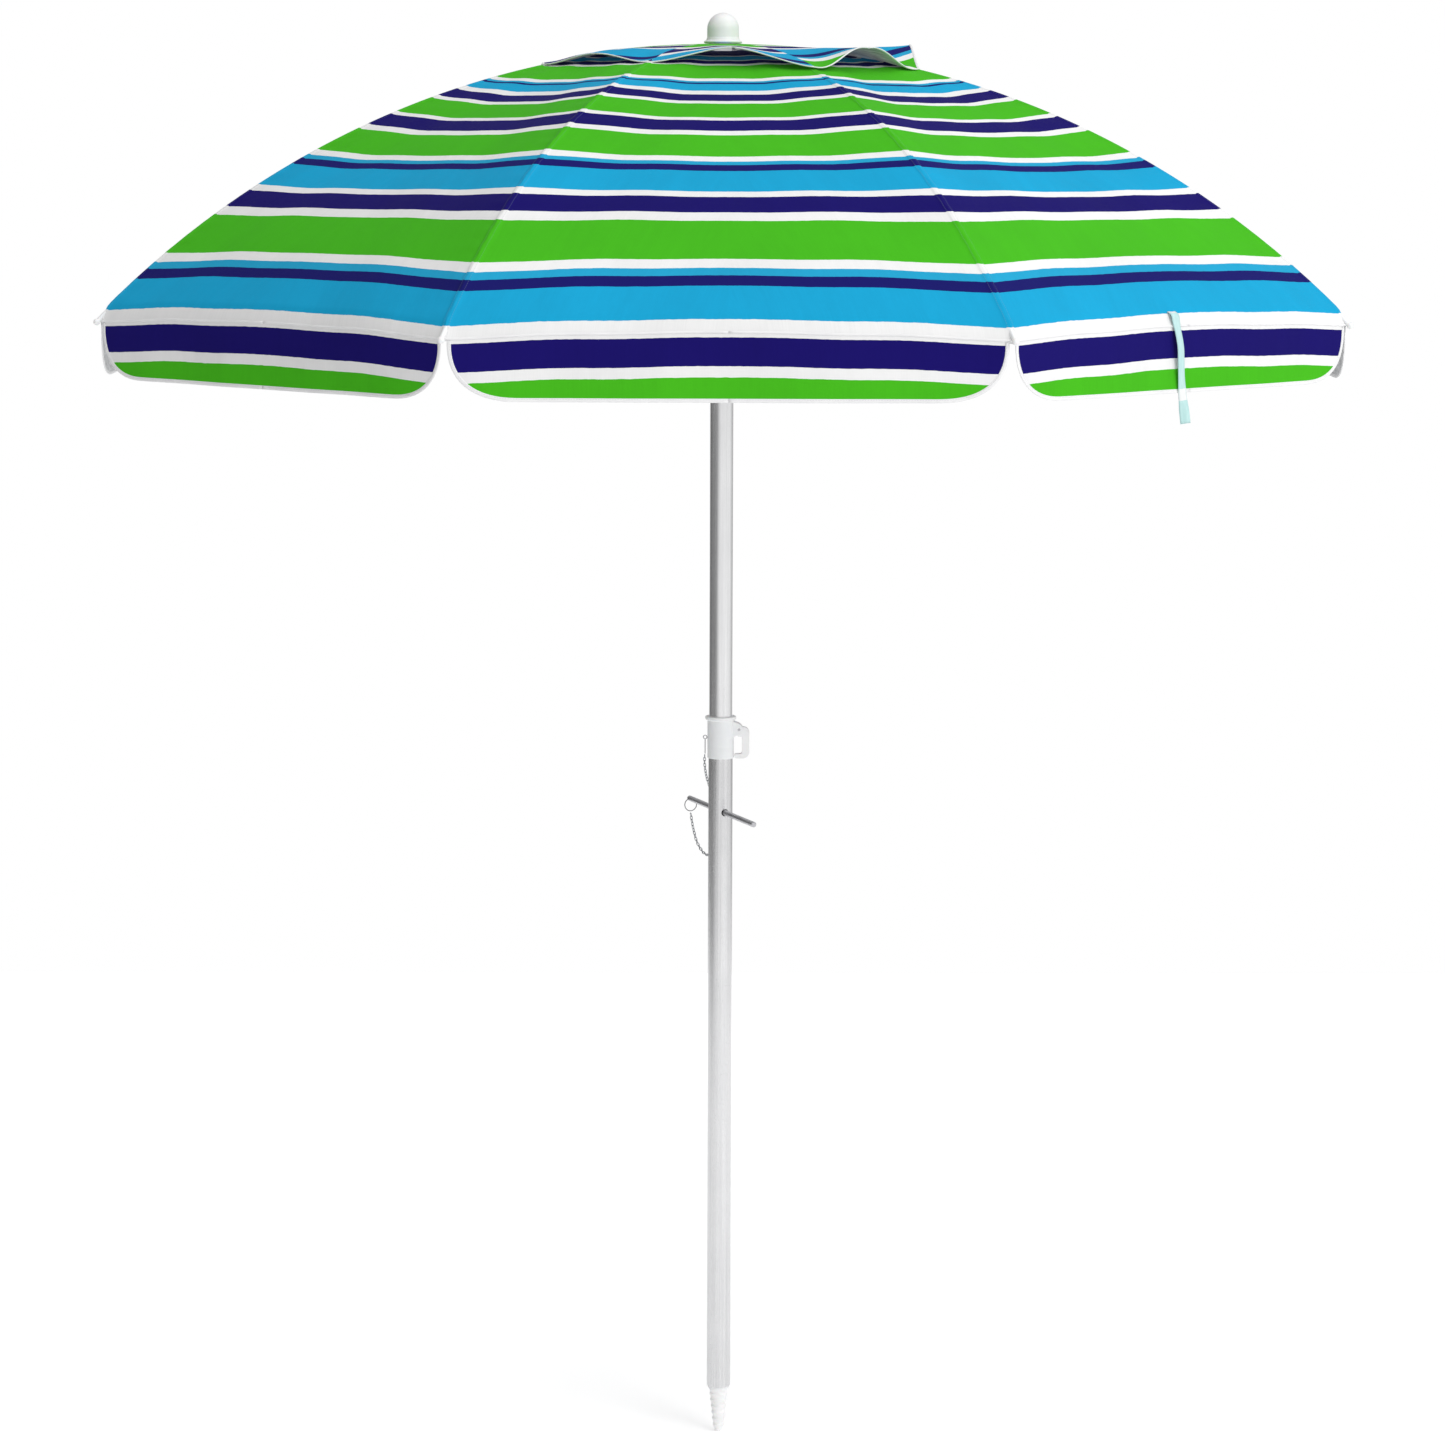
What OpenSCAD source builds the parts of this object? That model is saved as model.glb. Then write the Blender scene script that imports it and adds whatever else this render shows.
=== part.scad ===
// Beach umbrella with a vented eight-gore canopy, a two-piece pole and a cross bar.
// The point of the ground spike is the origin and +Z runs up the pole.

/* [Canopy] */
// Radius from the pole to a canopy corner
canopy_r = 900; // [840:5:960]
// Height of the canopy's top above the spike's point
apex_z = 2031; // [2000:1:2060]
// Radius of the canopy's arched profile
dome_r = 1300; // [1250:10:1400]
// Radius of the wind vent in the canopy's top
vent_r = 155; // [140:5:175]
// Radius of the flap over the vent
flap_r = 262; // [240:2:280]
// Thickness of the cloth
cloth_t = 0.7; // [0.6:0.1:0.9]
// Height of the valance's lower edge
valance_z = 1585; // [1570:5:1600]

/* [Pole] */
// Outer radius of the lower pole
lower_r = 17.5; // [17.5:0.5:18]
// Wall thickness of both poles
wall = 0.8; // [0.7:0.1:0.8]
// Height of the lower pole's bottom end
pole_bottom_z = 71; // [65:1:80]
// Height of the lower pole's top end
pole_top_z = 1068; // [1066:1:1070]

/* [Cross bar] */
// Height of the cross bar's axis
bar_z = 937; // [930:1:942]
// Radius of the cross bar
bar_r = 4; // [3.5:0.5:4.5]
// Angle of the bar from straight ahead, towards +X
bar_turn = 22; // [15:1:30]
// Reach of the bar in front of the pole's axis
bar_front = 125; // [110:5:130]
// Reach of the bar behind the pole's axis
bar_back = 120; // [118:1:122]

/* [Frame] */
// Radius of the ribs' hinge circle
hinge_r = 30; // [29:0.5:31]
// Radius of a rib
rib_r = 2; // [1.8:0.1:2.2]
// Radius at which a stretcher meets its rib
joint_r = 450; // [430:5:460]
// Length of a stretcher between its two pivots
stretcher_l = 467.5; // [465:0.5:470]
// Radius of the stretchers' pivot circle on the runner
runner_pivot_r = 28; // [27.5:0.5:28.5]

/* [Hidden] */
$fn = 64;

gores = 8;
half_gore = 180 / gores;
// rib k points this way; rib 1 is the front left one and they count towards +X
function rib_turn(k) = -90 - half_gore + 360 / gores * (k - 1);

// heights and radii that follow from the driving dimensions
dome_z = apex_z - dome_r;
rib_gap = 4;
rib_arc = dome_r - cloth_t - rib_gap;
function arc_z(radius, r) = dome_z + sqrt(radius * radius - r * r);
hinge_z = arc_z(rib_arc, hinge_r);
joint_z = arc_z(rib_arc, joint_r);
hem_z = arc_z(dome_r, canopy_r);
upper_r = lower_r - wall - 0.1;
upper_inner = upper_r - wall;
lower_inner = lower_r - wall;

// the open position of the runner
run = joint_r - runner_pivot_r;
runner_z = joint_z - sqrt(stretcher_l * stretcher_l - run * run);
stretcher_tilt = acos(run / stretcher_l);

// crown
hub_top = hinge_z + 7.5;
hub_bottom = hinge_z - 12;
hub_r = 38;
flap_arc = dome_r + 4;
flap_top = dome_z + flap_arc + cloth_t;
washer_t = 0.6;
finial_z = flap_top + washer_t + 0.2;

// collar
collar_bottom = 1015.5;
collar_top = 1076.5;
lever_x = 26.5;
lever_z = 1058;
eye_x = -22.5;
eye_y = 4;

bar_along = [sin(bar_turn), -cos(bar_turn), 0];
ring_at = bar_back - 5;
ring_r = 9.4;
ring_wire = 0.7;

// route of the safety chain, from the eye on the collar to the split ring
chain_route = [
    [-23, 4, 1019], [-23, 8, 1004], [-20, 15, 984], [-13, 23, 962], [-5, 29, 940],
    [-1, 34, 915], [-2, 40, 889], [-8, 49, 869], [-15, 58, 861], [-22, 68, 861],
    [-28, 78, 866], [-34, 87, 876], [-38, 95, 889], [-41, 101, 903], [-43, 106, 915]
];
chain_r = 1.9;
chain_sides = 8;
rings_per_step = 3;

plastic_white = [0.93, 0.93, 0.92];
alloy = [0.78, 0.78, 0.79];
steel = [0.6, 0.6, 0.62];
cloth_blue = [0.1, 0.62, 0.85];
cloth_green = [0.25, 0.7, 0.1];
webbing = [0.7, 0.93, 0.92];

// ---- helpers -------------------------------------------------------------

module tube(r_out, r_in, z0, z1) {
    difference() {
        translate([0, 0, z0]) cylinder(h = z1 - z0, r = r_out);
        translate([0, 0, z0 - 1]) cylinder(h = z1 - z0 + 2, r = r_in);
    }
}

// a round pin along local Y, centred on the origin
module cross_pin(r, length) {
    rotate([90, 0, 0]) cylinder(h = length, r = r, center = true);
}

// places its children in the plane of rib k, with local +X pointing outwards
module at_rib(k) {
    rotate([0, 0, rib_turn(k)]) children();
}

// a round rod that follows the ribs' arc between two radii, in the plane of local X and Z
module arc_rod(r, from_r, to_r) {
    inner = asin(from_r / rib_arc);
    outer = asin(to_r / rib_arc);
    translate([0, 0, dome_z]) rotate([90, 0, 0]) rotate([0, 0, 90 - outer])
        rotate_extrude(angle = outer - inner, $fn = 360) translate([rib_arc, 0]) circle(r = r, $fn = 32);
}

// ---- pole ----------------------------------------------------------------

module ground_spike() {
    ridge_count = 6;
    ridge_step = 9.6;
    function core(z) = 6.2 + 7.4 * z / pole_bottom_z;
    ridges = [for (i = [0:ridge_count - 1]) let (z = 5 + i * ridge_step) each [
        [core(z), z], [core(z) + 1.8, z + ridge_step * 0.55], [core(z + ridge_step) - 0.2, z + ridge_step * 0.8]
    ]];
    color(plastic_white) rotate_extrude() polygon(concat(
        [[0, 0], [4.6, 0], [5.8, 1.2], [6, 4]],
        ridges,
        [[14.2, 65.5], [15.6, 67], [15.6, pole_bottom_z], [lower_inner, pole_bottom_z],
         [lower_inner, 108], [lower_inner - 2, 110], [0, 110]]
    ));
}

module lower_pole() {
    color(alloy) difference() {
        tube(lower_r, lower_inner, pole_bottom_z, pole_top_z);
        translate([0, 0, bar_z]) rotate([0, 0, bar_turn]) cross_pin(bar_r + 1.3, 3 * lower_r);
    }
}

module clamp_collar() {
    ear_gap = 12.4;
    ear_t = 3.8;
    color(plastic_white) difference() {
        union() {
            rotate_extrude() polygon([
                [upper_r + 0.15, collar_bottom], [18.6, collar_bottom], [19.2, collar_bottom + 1],
                [19.2, collar_top - 6], [21.4, collar_top - 4.6], [22.5, collar_top - 3.4],
                [22.5, collar_top - 0.8], [21.9, collar_top], [upper_r + 0.15, collar_top]
            ]);
            for (side = [-1, 1]) translate([0, side * (ear_gap + ear_t) / 2, 0]) rotate([90, 0, 0])
                linear_extrude(ear_t, center = true) polygon([
                    [14, lever_z - 14], [lever_x + 1, lever_z - 6.5], [lever_x + 5.2, lever_z - 3],
                    [lever_x + 6, lever_z + 1], [lever_x + 4.4, lever_z + 4.8], [lever_x, lever_z + 8],
                    [14, collar_top - 5]
                ]);
        }
        translate([0, 0, collar_bottom - 1]) cylinder(h = pole_top_z + 1 - collar_bottom, r = lower_r);
        translate([0, 0, collar_bottom - 1]) cylinder(h = collar_top + 2 - collar_bottom, r = upper_r + 0.15);
        translate([lever_x, 0, lever_z]) cross_pin(1.98, 30);
    }
}

module clamp_lever() {
    lever_w = 11.6;
    arm_in = 31;
    arm_out = 41.5;
    foot_z = 1015;
    foot_x = 19.9;
    shoulder = 9;
    heel = 10;
    color(plastic_white) difference() {
        rotate([90, 0, 0]) linear_extrude(lever_w, center = true) difference() {
            union() {
                translate([lever_x, lever_z]) circle(r = 6.2);
                translate([lever_x, lever_z - 9]) square([arm_out - shoulder - lever_x, 12]);
                translate([arm_out - shoulder, lever_z - 6]) circle(r = shoulder);
                translate([arm_in, foot_z + heel]) square([arm_out - arm_in, lever_z - 6 - foot_z - heel]);
                translate([arm_out - heel, foot_z + heel]) circle(r = heel);
                translate([foot_x + 3.2, foot_z]) square([arm_out - heel - foot_x - 3.2, 6.4]);
                translate([foot_x + 3.2, foot_z + 3.2]) circle(r = 3.2);
            }
            translate([foot_x - 4, foot_z + 9.4]) square([arm_in - foot_x + 4, 22.4]);
            translate([foot_x - 4, foot_z + 6.4]) square([arm_in - foot_x + 1, 4]);
            translate([arm_in - 3, foot_z + 9.4]) circle(r = 3);
        }
        translate([lever_x, 0, lever_z]) cross_pin(2.05, 30);
    }
}

module lever_pin() {
    color(steel) translate([lever_x, 0, lever_z]) cross_pin(1.98, 19.6);
}

// an eye on the collar's side with a straight wire link that hangs from it
module chain_eye() {
    color(steel) {
        translate([eye_x, eye_y, 1045]) rotate([90, 0, 0])
            rotate_extrude($fn = 48) translate([2.6, 0]) circle(r = 0.7, $fn = 16);
        translate([eye_x, eye_y, 1021]) cylinder(h = 21.8, r = 0.7, $fn = 16);
        translate([eye_x + 2, eye_y, 1045]) rotate([0, 90, 0]) cylinder(h = 2.9, r = 0.9, $fn = 16);
    }
}

// a point on the smooth curve through the route, between its points i and i + 1
function route_point(route, i, t) =
    let (
        n = len(route) - 1,
        a = route[max(i - 1, 0)],
        b = route[i],
        c = route[min(i + 1, n)],
        d = route[min(i + 2, n)]
    )
    0.5 * (2 * b + (c - a) * t + (2 * a - 5 * b + 4 * c - d) * t * t + (3 * b - a - 3 * c + d) * t * t * t);

function unit(v) = v / norm(v);

module swept_tube(route, radius, sides, per_step) {
    last = (len(route) - 1) * per_step;
    line = [for (i = [0:last]) i == last
        ? route[len(route) - 1]
        : route_point(route, floor(i / per_step), (i % per_step) / per_step)];
    side_dir = [1, 0.35, 0];
    points = [for (i = [0:last])
        let (
            along = unit(line[min(i + 1, last)] - line[max(i - 1, 0)]),
            across = unit(cross(along, side_dir)),
            up = cross(across, along)
        )
        for (s = [0:sides - 1])
            line[i] + radius * (across * cos(360 * s / sides) + up * sin(360 * s / sides))];
    faces = concat(
        [[for (s = [0:sides - 1]) s]],
        [for (i = [0:last - 1]) for (s = [0:sides - 1])
            [i * sides + s, (i + 1) * sides + s, (i + 1) * sides + (s + 1) % sides, i * sides + (s + 1) % sides]],
        [[for (s = [sides - 1:-1:0]) last * sides + s]]
    );
    polyhedron(points = points, faces = faces);
}

module safety_chain() {
    color(steel) swept_tube(chain_route, chain_r, chain_sides, rings_per_step);
}

module cross_bar() {
    chamfer = 0.8;
    color(steel) difference() {
        translate([0, 0, bar_z]) rotate([0, 0, bar_turn]) rotate([90, 0, 0]) rotate_extrude()
            polygon([
                [0, -bar_back], [bar_r - chamfer, -bar_back], [bar_r, -bar_back + chamfer],
                [bar_r, bar_front - chamfer], [bar_r - chamfer, bar_front], [0, bar_front]
            ]);
        translate([0, 0, bar_z] - ring_at * bar_along) rotate([0, 0, bar_turn]) rotate([0, 90, 0])
            cylinder(h = 4 * bar_r, r = 1.5, center = true);
    }
}

module split_ring() {
    color(steel) translate([0, 0, bar_z - ring_r + 0.4] - ring_at * bar_along) rotate([0, 0, bar_turn])
        rotate([90, 0, 0]) rotate_extrude() translate([ring_r, 0]) circle(r = ring_wire, $fn = 24);
}

// ---- upper pole and crown --------------------------------------------------

module upper_pole() {
    slot_w = 5;
    color(alloy) difference() {
        tube(upper_r, upper_inner, bar_z + bar_r + 3.4, hinge_z + 5);
        translate([-slot_w / 2, upper_inner - 2, runner_z - 82]) cube([slot_w, 5, 42]);
        translate([0, 0, runner_z + 29]) cross_pin(1.55, 3 * upper_r);
    }
}

module pole_foot() {
    foot_z = bar_z + bar_r + 0.4;
    color(plastic_white) rotate_extrude() polygon([
        [0, foot_z], [upper_r - 1.5, foot_z], [upper_r, foot_z + 1.5], [upper_r, foot_z + 3],
        [upper_inner, foot_z + 3], [upper_inner, foot_z + 22], [0, foot_z + 22]
    ]);
}

module crown_hub() {
    slot_w = 4.6;
    color(plastic_white) difference() {
        rotate_extrude() polygon([
            [0, hub_bottom], [hub_r - 2, hub_bottom], [hub_r, hub_bottom + 2],
            [hub_r, hub_top - 4], [hub_r - 4, hub_top], [0, hub_top]
        ]);
        translate([0, 0, hub_bottom - 1]) cylinder(h = hinge_z + 5 - hub_bottom + 1, r = upper_r + 0.05);
        tube(hinge_r + 1.5, hinge_r - 1.5, hub_bottom - 1, hinge_z + 1.6);
        for (k = [1:gores]) at_rib(k)
            translate([hinge_r - 5, -slot_w / 2, hub_bottom - 1]) cube([20, slot_w, hinge_z + 4.6 - hub_bottom + 1]);
        cylinder(h = 3 * apex_z, r = 3.05);
    }
}

module crown_ring() {
    color(steel) translate([0, 0, hinge_z]) rotate_extrude($fn = 96)
        translate([hinge_r, 0]) circle(r = 1.1, $fn = 24);
}

module canopy_washer() {
    color(steel) tube(20, 4, flap_top + 0.1, flap_top + 0.1 + washer_t);
}

module finial() {
    dome = 22.4;
    flange_t = 4.5;
    top_z = 2079;
    color(plastic_white) {
        rotate_extrude() difference() {
            union() {
                polygon([
                    [0, finial_z], [26, finial_z], [27, finial_z + 1], [27, finial_z + 2.4],
                    [dome + 1.4, finial_z + flange_t], [dome, finial_z + flange_t + 4],
                    [dome, top_z - dome], [0, top_z - dome]
                ]);
                translate([0, top_z - dome]) circle(r = dome);
            }
            translate([-40, finial_z - 60]) square([40, 200]);
            translate([-1, finial_z - 60]) square([41, 60]);
        }
        translate([0, 0, hub_top - 1.5]) cylinder(h = finial_z + 1 - hub_top + 1.5, r = 3);
    }
}

// ---- runner ----------------------------------------------------------------

module runner() {
    flange_r = 36;
    slot_w = 3.6;
    color(plastic_white) difference() {
        rotate_extrude() polygon([
            [upper_r + 0.1, runner_z - 40], [20, runner_z - 40], [20, runner_z - 8], [flange_r - 1, runner_z - 8],
            [flange_r, runner_z - 7], [flange_r, runner_z + 5], [flange_r - 1, runner_z + 6],
            [20, runner_z + 6], [20, runner_z + 26], [upper_r + 0.1, runner_z + 26]
        ]);
        for (k = [1:gores]) at_rib(k)
            translate([runner_pivot_r - 5, -slot_w / 2, runner_z - 20]) cube([30, slot_w, 40]);
    }
}

// a leaf spring inside the pole, with a wedge that stands out under the runner
module runner_catch() {
    leaf_w = 4.4;
    color(steel) rotate([90, 0, 90]) linear_extrude(leaf_w, center = true) polygon([
        [upper_inner - 1.6, runner_z - 110], [upper_inner - 0.6, runner_z - 110],
        [upper_inner - 0.6, runner_z - 80], [upper_r + 3.4, runner_z - 42.5],
        [upper_r + 3.4, runner_z - 41], [upper_inner - 1.6, runner_z - 41]
    ]);
}

module runner_stop() {
    color(steel) translate([0, 0, runner_z + 29]) cross_pin(1.5, 2 * upper_r + 6);
}

// ---- ribs and stretchers -----------------------------------------------------

module rib(k) {
    color(steel) at_rib(k) difference() {
        union() {
            arc_rod(rib_r, hinge_r + 1, canopy_r + 1);
            translate([hinge_r, 0, hinge_z]) cross_pin(3.4, 3.8);
            translate([joint_r, 0, joint_z]) cross_pin(3.6, 2 * rib_r);
        }
        translate([hinge_r, 0, hinge_z]) cross_pin(1.6, 10);
        translate([joint_r, 0, joint_z]) cross_pin(1.6, 10);
    }
}

module rib_tip(k) {
    ball_at = canopy_r + 6;
    color(plastic_white) at_rib(k) difference() {
        union() {
            arc_rod(3.1, canopy_r - 16, canopy_r + 5);
            translate([ball_at, 0, arc_z(rib_arc, ball_at)]) sphere(r = 4.5);
        }
        arc_rod(rib_r, canopy_r - 20, canopy_r + 1);
    }
}

module stretcher(k) {
    cheek_t = 1.2;
    cheek_y = rib_r + 0.4 + cheek_t / 2;
    fork_l = 15;
    blade_l = 14;
    blade_w = 2.4;
    bore = 1.55;
    // local +X runs from the rib's pivot towards the runner
    color(steel) at_rib(k) translate([joint_r, 0, joint_z]) rotate([0, 180 - stretcher_tilt, 0]) {
        difference() {
            union() {
                for (side = [-1, 1]) translate([0, side * cheek_y, 0]) {
                    cross_pin(3, cheek_t);
                    translate([0, -cheek_t / 2, -2.2]) cube([fork_l + 4, cheek_t, 4.4]);
                }
                translate([fork_l, -cheek_y - cheek_t / 2, -2.2]) cube([5, 2 * cheek_y + cheek_t, 4.4]);
                translate([fork_l + 2, 0, 0]) rotate([0, 90, 0])
                    cylinder(h = stretcher_l - fork_l - blade_l - 2, r = rib_r);
                translate([stretcher_l - blade_l - 6, -blade_w / 2, -3]) cube([blade_l + 6, blade_w, 6]);
                translate([stretcher_l, 0, 0]) cross_pin(3, blade_w);
            }
            cross_pin(bore, 20);
            translate([stretcher_l, 0, 0]) cross_pin(bore, 20);
        }
        cross_pin(1.5, 2 * cheek_y + cheek_t + 0.2);
        for (side = [-1, 1]) translate([0, side * (cheek_y + cheek_t / 2 + 0.5), 0]) cross_pin(2.6, 0.8);
    }
}

// ---- cloth -------------------------------------------------------------------

// corner point of row i (of rows) and column j (of columns) on the flat-gored dome
function gore_point(radius_out, r, column, columns, gore) =
    let (
        a = rib_turn(1) + 360 / gores * (gore - 1),
        t = column / columns,
        p = r * [cos(a), sin(a)] * (1 - t) + r * [cos(a + 360 / gores), sin(a + 360 / gores)] * t
    )
    [p[0], p[1], arc_z(radius_out, r)];

// a shell of flat-sided gores between two radii, as one closed solid
module gored_shell(radius_out, thickness, r0, r1, rows, columns) {
    around = gores * columns;
    layer = (rows + 1) * around;
    function at(i, radius_out) =
        let (r = r0 + (r1 - r0) * i / rows)
        [for (g = [1:gores]) for (c = [0:columns - 1]) gore_point(radius_out, r, c, columns, g)];
    points = concat(
        [for (i = [0:rows]) each at(i, radius_out)],
        [for (i = [0:rows]) each [for (p = at(i, radius_out)) p - [0, 0, thickness]]]
    );
    function next(c) = (c + 1) % around;
    faces = concat(
        [for (i = [0:rows - 1]) for (c = [0:around - 1])
            let (a = i * around + c, b = a + around, d = (i + 1) * around + next(c), e = i * around + next(c))
            each [[a, d, b], [a, e, d], [layer + a, layer + b, layer + d], [layer + a, layer + d, layer + e]]],
        [for (c = [0:around - 1])
            let (d = next(c), outer = rows * around)
            each [
                [c, layer + d, d], [c, layer + c, layer + d],
                [outer + c, outer + d, outer + layer + d], [outer + c, outer + layer + d, outer + layer + c]
            ]]
    );
    polyhedron(points = points, faces = faces);
}

module canopy() {
    color(cloth_blue) gored_shell(dome_r, cloth_t, vent_r, canopy_r, 18, 2);
}

module vent_flap() {
    flap_seat = dome_z + flap_arc;
    color(cloth_blue) difference() {
        intersection() {
            translate([0, 0, dome_z]) sphere(r = flap_arc + cloth_t, $fn = 180);
            translate([0, 0, 1900]) cylinder(h = 300, r = flap_r);
        }
        translate([0, 0, dome_z]) sphere(r = flap_arc, $fn = 180);
        translate([0, 0, flap_seat - 20]) cylinder(h = 40, r = 4);
    }
}

// the halves of the two hanging flaps that meet at rib k
module valance(k) {
    chord_at = canopy_r * cos(half_gore);
    half_chord = canopy_r * sin(half_gore);
    split = 9;
    corner = 46;
    seam = 0.4;
    top = hem_z - 0.4;
    color(cloth_green) for (side = [-1, 1])
        rotate([0, 0, rib_turn(k) + side * half_gore]) translate([chord_at, 0, 0])
            rotate([90, 0, 90]) linear_extrude(cloth_t) polygon(concat(
                [[-seam * side, valance_z], [-seam * side, top], [(split - half_chord) * side, top]],
                [for (a = [180:15:270]) [
                    (split - half_chord + corner * (1 + cos(a))) * side,
                    valance_z + corner * (1 + sin(a))
                ]]
            ));
}

module closing_strap() {
    chord_at = canopy_r * cos(half_gore);
    strap_w = 11;
    color(webbing) rotate([0, 0, rib_turn(2) + half_gore]) translate([chord_at + 2.4, -24, 1543])
        cube([1.2, strap_w, 138]);
}

// ---- nodes -------------------------------------------------------------------

ground_spike();
lower_pole();
clamp_collar();
clamp_lever();
lever_pin();
chain_eye();
safety_chain();
split_ring();
cross_bar();
upper_pole();
pole_foot();
crown_hub();
crown_ring();
finial();
canopy_washer();
runner();
runner_catch();
runner_stop();
canopy();
vent_flap();
closing_strap();
for (k = [1:gores]) {
    rib(k);
    rib_tip(k);
    stretcher(k);
    valance(k);
}
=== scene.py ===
"""Beach umbrella: cloth, chain, materials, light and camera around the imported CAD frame."""
import bpy
import math
import numpy as np
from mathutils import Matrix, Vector


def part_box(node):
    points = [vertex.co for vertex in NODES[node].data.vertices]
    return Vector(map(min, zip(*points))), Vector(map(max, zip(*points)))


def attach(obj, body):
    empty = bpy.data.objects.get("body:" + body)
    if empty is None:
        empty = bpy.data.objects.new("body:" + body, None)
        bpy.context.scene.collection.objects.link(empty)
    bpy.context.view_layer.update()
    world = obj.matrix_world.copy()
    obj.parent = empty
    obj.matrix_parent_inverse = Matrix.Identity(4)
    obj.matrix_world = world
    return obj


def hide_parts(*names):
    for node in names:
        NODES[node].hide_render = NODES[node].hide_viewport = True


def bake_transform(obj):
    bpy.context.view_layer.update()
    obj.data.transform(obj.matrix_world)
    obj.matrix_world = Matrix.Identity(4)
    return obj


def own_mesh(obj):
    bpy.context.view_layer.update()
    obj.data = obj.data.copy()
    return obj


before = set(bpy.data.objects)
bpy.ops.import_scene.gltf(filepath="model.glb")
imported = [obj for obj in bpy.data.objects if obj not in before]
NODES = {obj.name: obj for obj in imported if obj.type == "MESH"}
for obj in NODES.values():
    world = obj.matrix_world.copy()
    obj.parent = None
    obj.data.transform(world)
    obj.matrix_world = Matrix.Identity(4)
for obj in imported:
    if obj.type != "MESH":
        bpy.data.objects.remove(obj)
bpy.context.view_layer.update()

# ---- driving dimensions, in metres ---------------------------------------------------------------
GORES = 8
HALF = math.pi / GORES
# the canopy is part of a sphere along its ribs; lengths along a rib, called s, start at the crown
DOME_R = 1.3
APEX_Z = 2.031
DOME_Z = APEX_Z - DOME_R
RIM_R = 0.9
VENT_R = 0.155
RIM_S = DOME_R * math.asin(RIM_R / DOME_R)
HALF_HEM = RIM_R * math.sin(HALF)
CLOTH_T = 0.0007
# the cloth dips over the last bit of a rib, and its tip's cap shows
DROOP_RUN, DROOP = 0.017, 0.0118
# the valance's lowest edge, its inset from the rib, and the width and height of its rounded corner
VALANCE_LOW = 1.5823
VALANCE_IN = 0.0045
CORNER_W, CORNER_H = 0.0905, 0.0735

LINEAR = {
    "G": (0.058, 0.436, 0.013),
    "B": (0.010, 0.336, 0.590),
    "b": (0.018, 0.332, 0.560),
    "n": (0.010, 0.010, 0.130),
    "N": (0.010, 0.006, 0.125),
    "W": (0.785, 0.785, 0.785),
}
# the printed stripes along a gore: s where each one ends, from the crown to the hem and down the valance
STRIPES = (
    (0.205, "N"), (0.212, "W"), (0.240, "B"), (0.246, "W"), (0.266, "N"), (0.276, "W"), (0.345, "G"),
    (0.355, "W"), (0.361, "b"), (0.366, "n"), (0.390, "B"), (0.404, "W"), (0.432, "N"), (0.443, "W"),
    (0.496, "G"), (0.506, "W"), (0.541, "N"), (0.555, "W"), (0.621, "G"), (0.635, "W"), (0.645, "b"),
    (0.662, "n"), (0.717, "B"), (0.731, "W"), (0.770, "N"), (0.790, "W"), (0.876, "G"), (0.894, "W"),
    (0.909, "b"), (0.929, "n"), (0.985, "B"), (1.0008, "W"), (1.0356, "N"), (1.0490, "W"), (2.0, "G"),
)
# how far the middle of a gore lies off the straight chord between its two ribs, along the gore
SAG = ((0.155, 0.0), (0.26, -0.002), (0.345, -0.005), (0.40, -0.0105), (0.555, -0.010), (0.64, -0.008),
       (0.72, -0.0045), (0.79, 0.0), (0.876, 0.006), (0.94, 0.009), (1.1, 0.0125))


# ---- small helpers -------------------------------------------------------------------------------
def smooth(t):
    t = np.clip(t, 0.0, 1.0)
    return t * t * (3.0 - 2.0 * t)


def rib_azimuth(k):
    """Rib k points this way; rib 1 is the front left one and they count towards +X."""
    return -math.pi / 2 - HALF + 2 * HALF * (k - 1)


def outward(azimuth):
    return np.array([math.cos(azimuth), math.sin(azimuth), 0.0])


def sideways(azimuth):
    return np.array([-math.sin(azimuth), math.cos(azimuth), 0.0])


def run_along(path):
    """Distance from the start of a path to each of its points."""
    return np.concatenate([[0], np.cumsum(np.linalg.norm(np.diff(path, axis=0), axis=1))])


def at_distance(places, run, path):
    """Points of a path at the given distances along it."""
    return np.stack([np.interp(places, run, path[:, i]) for i in range(3)], -1)


def fold_with_rib(obj, k):
    """Carry a piece on rib k."""
    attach(obj, f"rib_{k}")
    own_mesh(obj)


def link_object(name, mesh):
    obj = bpy.data.objects.new(name, mesh)
    bpy.context.scene.collection.objects.link(obj)
    return obj


def mesh_object(name, verts, faces, materials, face_material=None, uvs=None, normals=None):
    mesh = bpy.data.meshes.new(name)
    mesh.from_pydata([tuple(v) for v in verts], [], [tuple(int(i) for i in f) for f in faces])
    for m in materials:
        mesh.materials.append(m)
    if face_material is not None:
        mesh.polygons.foreach_set("material_index", np.asarray(face_material, np.int32))
    mesh.polygons.foreach_set("use_smooth", [True] * len(mesh.polygons))
    if uvs is not None:
        layer = mesh.uv_layers.new(name="cloth")
        corners = np.empty(len(mesh.loops), np.int32)
        mesh.loops.foreach_get("vertex_index", corners)
        layer.data.foreach_set("uv", np.asarray(uvs, np.float32)[corners].ravel())
    mesh.validate(clean_customdata=False)
    mesh.update()
    if normals is not None:
        mesh.normals_split_custom_set_from_vertices([tuple(n) for n in normals])
    return link_object(name, mesh)


def unit(v):
    tiny = 1e-12
    return v / np.maximum(np.linalg.norm(v, axis=-1, keepdims=True), tiny)


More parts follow.
